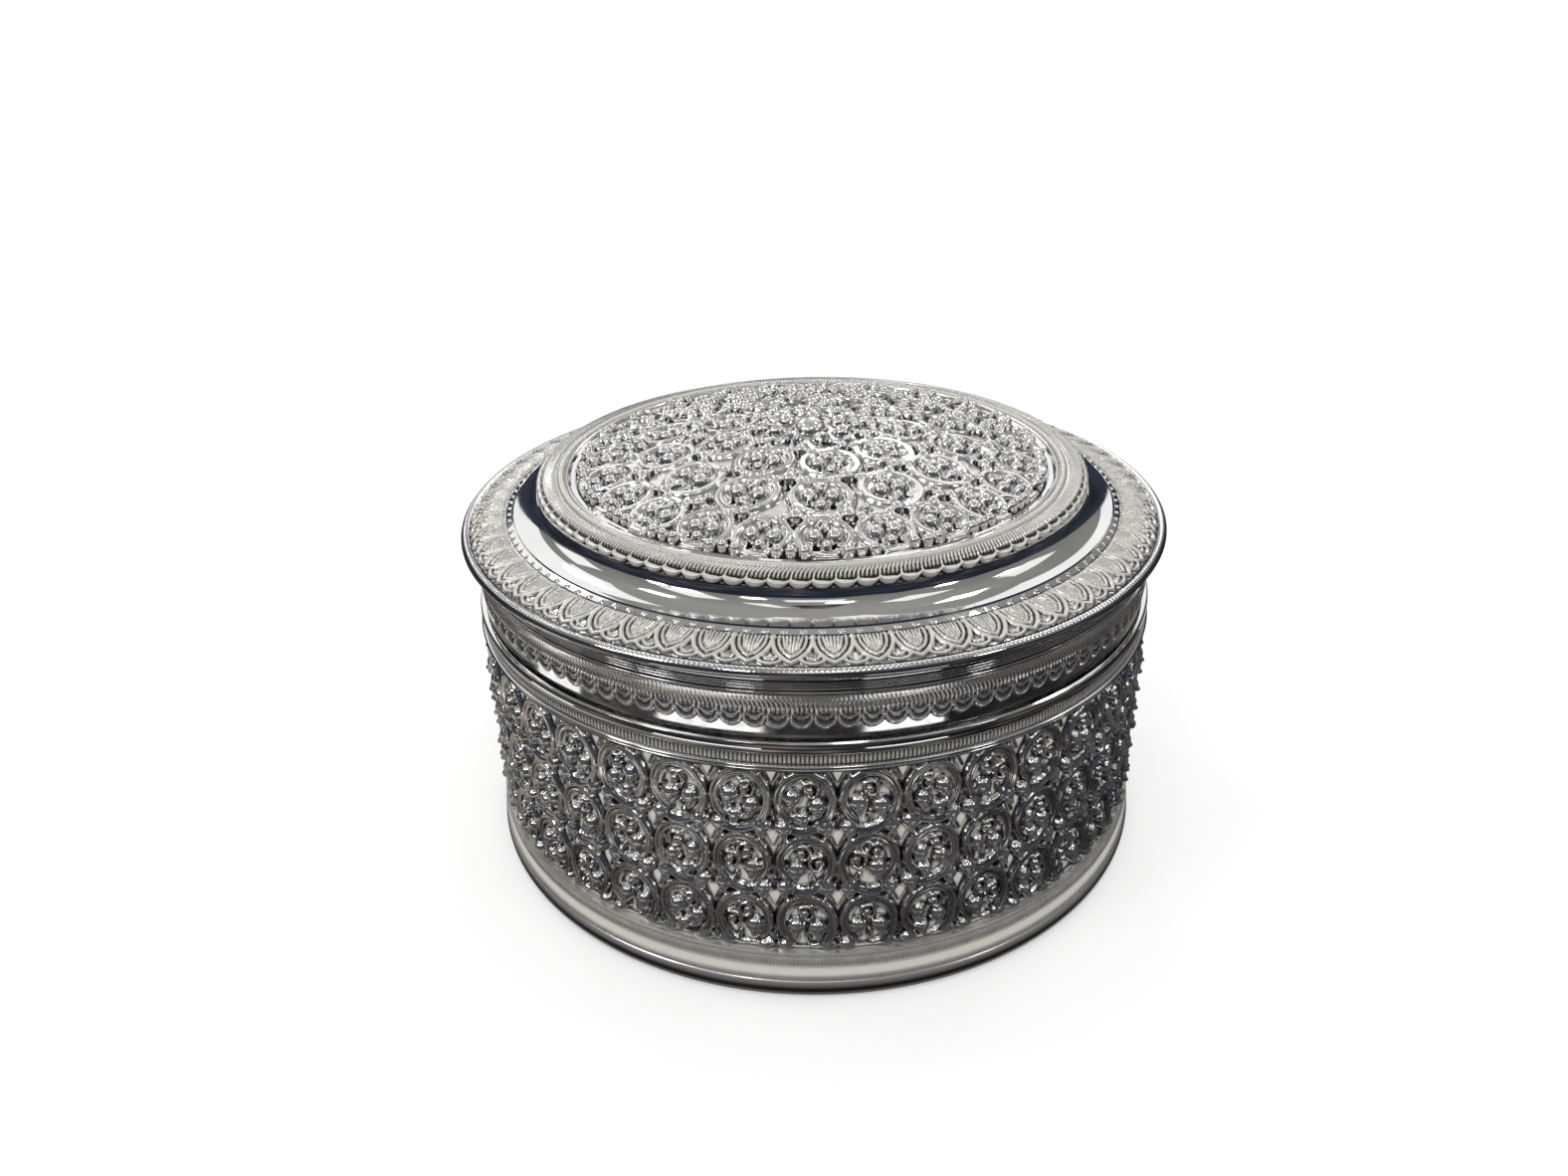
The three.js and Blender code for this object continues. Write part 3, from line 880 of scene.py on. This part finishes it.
def sampled(grid, x, y):
    """The map's value at points of the sheet, between its four neighbours."""
    i, j = x / dome.dx, y / dome.dy
    i0, j0 = np.floor(i).astype(int), np.floor(j).astype(int)
    u, v = i - i0, j - j0
    i0, j0 = i0 % dome.columns, np.clip(j0, 0, dome.rows - 2)
    i1 = (i0 + 1) % dome.columns
    low = grid[j0, i0] * (1 - u) + grid[j0, i1] * u
    high = grid[j0 + 1, i0] * (1 - u) + grid[j0 + 1, i1] * u
    return low * (1 - v) + high * v


def dome_band(name, outer, inner, columns, rows):
    """One ring of the dome between two radii, or its middle."""
    radii = np.linspace(outer, inner, rows)[:, None]
    angle = np.arange(columns) / columns * TURN
    x, y = centre + radii * np.sin(angle), centre - radii * np.cos(angle)
    fade = np.clip((DOME_RADIUS + 0.1 - radii) / 0.5, 0, 1)
    lift = sampled(heights, x, y) * fade
    shades = {"recess": sampled(deep, x, y) * fade, "matt": sampled(grounds, x, y) * fade}
    base_z = DOME_GROUND + DOME_RISE * (1 - (radii / DOME_RADIUS) ** 2)
    slope = 2 * DOME_RISE * radii / DOME_RADIUS**2
    tilt = np.hypot(1, slope)
    line_r, line_z = radii + lift * slope / tilt, base_z + lift / tilt
    under = radii[[-1, 0]] * np.ones((2, columns))
    under_z = base_z[[-1, 0]] - SHEET
    r = np.concatenate([line_r, under])
    z = np.concatenate([line_z * np.ones((1, columns)), under_z * np.ones((2, columns))])
    shades = {key: np.concatenate([value, np.zeros((2, columns))]) for key, value in shades.items()}
    points, faces = swept(r, z, angle), ring_faces(len(r), columns)
    seams = (columns, [0, rows - 1, rows, rows + 1])
    add_mesh(name, points, faces, "lid", "chased_silver", ["lid_dome_panel"], shades, seams=seams)


dome_band("dome_1", DOME_RADIUS, 41.2, 1700, 38)
dome_band("dome_2", 41.2, 35.4, 1560, 38)
dome_band("dome_3", 35.4, 27.7, 1340, 50)
dome_band("dome_4", 27.7, 20.0, 1040, 50)
dome_band("dome_5", 20.0, 0.05, 720, 120)
turned(
    "dome_channel",
    [
        (46.7, 75.4),
        (49.2, 75.7),
        (49.2, 76.6),
        *arc(48.65, 76.65, 0.4, 0.4, 0, 180, 10),
        (47.9, 76.35),
        (47.2, 76.35),
        (46.9, 76.6),
        (46.7, 76.3),
    ],
    "lid",
    "polished_silver",
)

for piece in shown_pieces():
    if piece.type == "MESH" and not piece.data.materials:
        piece.data.materials.append(FINISH[piece["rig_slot"]])

# Camera, at the photograph's place and angle
FOCAL, FRAME_WIDTH = 1201.9, 1576  # pixels
REACH, RAISED = 226.56, 163.68  # millimetres in front of the axis and over the floor
PITCH, YAW, ROLL = 0.4746, -0.0264, -0.02369  # radians
SENSOR = 36  # millimetres
forward = Vector((math.sin(YAW) * math.cos(PITCH), math.cos(YAW) * math.cos(PITCH), -math.sin(PITCH)))
right = Vector((math.cos(YAW), -math.sin(YAW), 0))
up = Vector((math.sin(YAW) * math.sin(PITCH), math.cos(YAW) * math.sin(PITCH), math.cos(PITCH)))
across = math.cos(ROLL) * right + math.sin(ROLL) * up
above = -math.sin(ROLL) * right + math.cos(ROLL) * up
camera_data = bpy.data.cameras.new("camera")
camera_data.sensor_fit = "HORIZONTAL"
camera_data.sensor_width = SENSOR
camera_data.lens = FOCAL / FRAME_WIDTH * SENSOR
camera_data.clip_start = 0.01
camera = bpy.data.objects.new("camera", camera_data)
camera.rotation_mode = "QUATERNION"
camera.location = (0, -REACH * MM, RAISED * MM)
camera.rotation_quaternion = Matrix((across, above, -forward)).transposed().to_quaternion()
bpy.context.scene.collection.objects.link(camera)
bpy.context.scene.camera = camera


# Floor, backdrop, cards and lamps


def seen(nodes, links):
    """1 where the camera, a reflection or glass looks, else 0."""
    path = nodes.new("ShaderNodeLightPath")
    value = path.outputs["Is Camera Ray"]
    for ray in ("Is Glossy Ray", "Is Transmission Ray"):
        either = nodes.new("ShaderNodeMath")
        either.operation = "MAXIMUM"
        links.new(value, either.inputs[0])
        links.new(path.outputs[ray], either.inputs[1])
        value = either.outputs["Value"]
    return value


FLOOR_GLOW = 0.36  # the floor's own paleness, seen by the camera and in reflections
FLOOR_HALF, FLOOR_DOWN = 40.0, -0.0001  # half its width and its height, in metres
DAYLIGHT, BACKDROP = 0.8, 1.0  # the world's strength as light, and where it is seen
world = bpy.data.worlds.new("studio")
bpy.context.scene.world = world
world.use_nodes = True
nodes, links = world.node_tree.nodes, world.node_tree.links
strength = nodes.new("ShaderNodeMapRange")
strength.inputs["To Min"].default_value = DAYLIGHT
strength.inputs["To Max"].default_value = BACKDROP
links.new(seen(nodes, links), strength.inputs["Value"])
links.new(strength.outputs["Result"], nodes["Background"].inputs["Strength"])
nodes["Background"].inputs["Color"].default_value = (1, 1, 1, 1)


def stage_mesh(name, vertices, faces, material):
    """A thing of the studio, in metres, that isn't part of the box."""
    mesh = bpy.data.meshes.new(name)
    mesh.from_pydata(vertices, [], faces)
    mesh.materials.append(material)
    thing = bpy.data.objects.new(name, mesh)
    bpy.context.scene.collection.objects.link(thing)
    return thing


pale = bpy.data.materials.new("floor")
pale.use_nodes = True
nodes, links = pale.node_tree.nodes, pale.node_tree.links
base = nodes["Principled BSDF"]
base.inputs["Base Color"].default_value = (0.8, 0.8, 0.8, 1)
base.inputs["Roughness"].default_value = 0.9
base.inputs["Emission Color"].default_value = (1, 1, 1, 1)
glow = nodes.new("ShaderNodeMath")
glow.operation = "MULTIPLY"
glow.inputs[1].default_value = FLOOR_GLOW
links.new(seen(nodes, links), glow.inputs[0])
links.new(glow.outputs["Value"], base.inputs["Emission Strength"])
corners = [(FLOOR_HALF * x, FLOOR_HALF * y, FLOOR_DOWN) for x, y in ((-1, -1), (1, -1), (1, 1), (-1, 1))]
stage_mesh("floor", corners, [(0, 1, 2, 3)], pale)

CARD_COLUMNS = 144


def card(name, profile, gaps, stops, scale, seed, grain=1.0, lean=(0, 0, 0)):
    """A glowing studio card turned round the box, which shows only in its reflections: painted reflections
    for the silver.

    gaps are openings where the pale backdrop shows: first and last row, then middle and half width in
    degrees. stops colour the card from dark to light, by clouds of weight grain and its place along lean.
    """

    def left_out(row, n):
        """Whether the face lies in a gap."""
        return any(
            first <= row <= last and abs((n * 360 / CARD_COLUMNS - middle + 180) % 360 - 180) < half
            for first, last, middle, half in gaps
        )

    angle = np.arange(CARD_COLUMNS) / CARD_COLUMNS * TURN
    points = [(r * math.sin(a), -r * math.cos(a), z) for r, z in profile for a in angle]
    faces = []
    for row in range(len(profile) - 1):
        low, high = row * CARD_COLUMNS, (row + 1) * CARD_COLUMNS
        for n in range(CARD_COLUMNS):
            after = (n + 1) % CARD_COLUMNS
            if not left_out(row, n):
                faces.append((low + n, low + after, high + after, high + n))
    material = bpy.data.materials.new(name)
    material.use_nodes = True
    nodes, links = material.node_tree.nodes, material.node_tree.links
    nodes.remove(nodes["Principled BSDF"])
    # the card glows though it is no lamp: its colour is a painted reflection
    glow = nodes.new("ShaderNodeEmission")
    links.new(glow.outputs["Emission"], nodes["Material Output"].inputs["Surface"])
    where = nodes.new("ShaderNodeTexCoord")
    slope = nodes.new("ShaderNodeVectorMath")
    slope.operation = "DOT_PRODUCT"
    slope.inputs[1].default_value = lean
    links.new(where.outputs["Object"], slope.inputs[0])
    texture = nodes.new("ShaderNodeTexNoise")
    texture.noise_dimensions = "4D"
    texture.inputs["W"].default_value = seed
    texture.inputs["Scale"].default_value = scale
    texture.inputs["Detail"].default_value = 1.5
    links.new(where.outputs["Object"], texture.inputs["Vector"])
    lifted = nodes.new("ShaderNodeMath")
    lifted.operation = "MULTIPLY_ADD"
    lifted.inputs[1].default_value = grain
    links.new(texture.outputs["Fac"], lifted.inputs[0])
    links.new(slope.outputs["Value"], lifted.inputs[2])
    ramp = nodes.new("ShaderNodeValToRGB")
    while len(ramp.color_ramp.elements) < len(stops):
        ramp.color_ramp.elements.new(0.5)
    for element, (position, colour) in zip(ramp.color_ramp.elements, stops):
        element.position = position
        element.color = (*colour, 1)
    links.new(lifted.outputs["Value"], ramp.inputs["Fac"])
    links.new(ramp.outputs["Color"], glow.inputs["Color"])
    thing = stage_mesh(name, points, faces, material)
    thing.visible_camera = False
    thing.visible_diffuse = False
    thing.visible_shadow = False
    thing.visible_transmission = False


def elevations(degrees, reach):
    """A card's profile at these angles over the horizon."""
    return [(reach * math.cos(math.radians(e)), reach * math.sin(math.radians(e))) for e in degrees]


CANOPY, WITHIN = 1.25, 1.2  # metres from the box to the canopy and to the cards inside it

# The cards that lie over the floor, glowing as painted reflections of the ground round the box
near_stops = [
    (0.31, (0.006, 0.006, 0.008)),
    (0.39, (0.035, 0.033, 0.032)),
    (0.45, (0.11, 0.103, 0.093)),
    (0.6, (0.4, 0.375, 0.34)),
]
card("near_card", [(0.0698, 0.001), (0.134, 0.004)], [], near_stops, 32.0, 3.0, 0.5, (-0.8, 0.6, 80))
dark_stops = [(0.4, (0.008, 0.009, 0.012)), (0.54, (0.025, 0.024, 0.026)), (0.7, (0.24, 0.2, 0.17))]
table = [(0.134, 0.002), (0.157, 0.0022), (0.3, 0.003), (0.7, 0.004), (CANOPY, 0.006)]
gaps = [(0, 0, 333, 14), (0, 0, 21, 11), (0, 0, 285, 10), (0, 0, 120, 12), (3, 3, 180, 40)]
card("table_card", table, gaps, dark_stops, 7.0, 3.0)

# The grey vault with its windows, glowing as a painted reflection of a ceiling, and the darker cards inside
# it
sky_stops = [
    (0.35, (0.016, 0.022, 0.042)),
    (0.366, (0.2, 0.2, 0.195)),
    (0.62, (0.25, 0.25, 0.24)),
    (0.78, (0.33, 0.33, 0.32)),
]
windows = [
    (4, 8, 165, 17),
    (3, 7, 205, 16),
    (9, 12, 186, 4),
    (9, 12, 168, 5),
    (8, 9, 214, 12),
    (7, 9, 110, 12),
    (9, 10, 0, 13),
    (8, 11, 300, 12),
    (13, 15, 322, 9),
    (11, 13, 62, 14),
    (5, 7, 245, 12),
]
vault = elevations(range(0, 90, 5), CANOPY) + [(0.002, CANOPY)]
card("canopy", vault, windows, sky_stops, 2.6, 7.0, 0.16, (0, 0.114, 0.54))
navy_stops = [(0.3, (0.012, 0.015, 0.023)), (0.6, (0.034, 0.041, 0.058)), (0.75, (0.14, 0.12, 0.105))]
card("side_card", elevations((1, 22), WITHIN), [(0, 0, 180, 13)], navy_stops, 3.0, 5.0)
card("shade", elevations((70, 84), WITHIN), [(0, 0, 184, 161)], dark_stops, 3.0, 5.0)
card("dark_patch", elevations((44, 60), WITHIN), [(0, 0, 358.5, 176.5)], dark_stops[:2], 3.0, 5.0)

AIM = Vector((0, 0, 0.04))  # the middle of the box


def lamp(name, place, size, power):
    """A square white lamp that faces the box."""
    data = bpy.data.lights.new(name, "AREA")
    data.shape = "RECTANGLE"
    data.size, data.size_y = size, size
    data.energy = power
    light = bpy.data.objects.new(name, data)
    light.location = place
    light.rotation_mode = "QUATERNION"
    light.rotation_quaternion = (AIM - Vector(place)).to_track_quat("-Z", "Y")
    bpy.context.scene.collection.objects.link(light)


LAMPS = 9  # in a ring round the box, each a small bright point in the silver
LAMP_DISTANCE = 1.1  # metres from the middle of the floor
for n in range(LAMPS):
    turn, height = math.radians(-25 + 360 * n / LAMPS), (0.75, 0.95, 0.6)[n % 3]
    reach = math.sqrt(LAMP_DISTANCE**2 - height**2)
    lamp(f"lamp_{n + 1}", (reach * math.sin(turn), -reach * math.cos(turn), height), 0.13, 0.34)
lamp("left", (-0.7, -0.5, 0.7), 0.16, 0.7)

bpy.context.scene.view_settings.view_transform = "Standard"
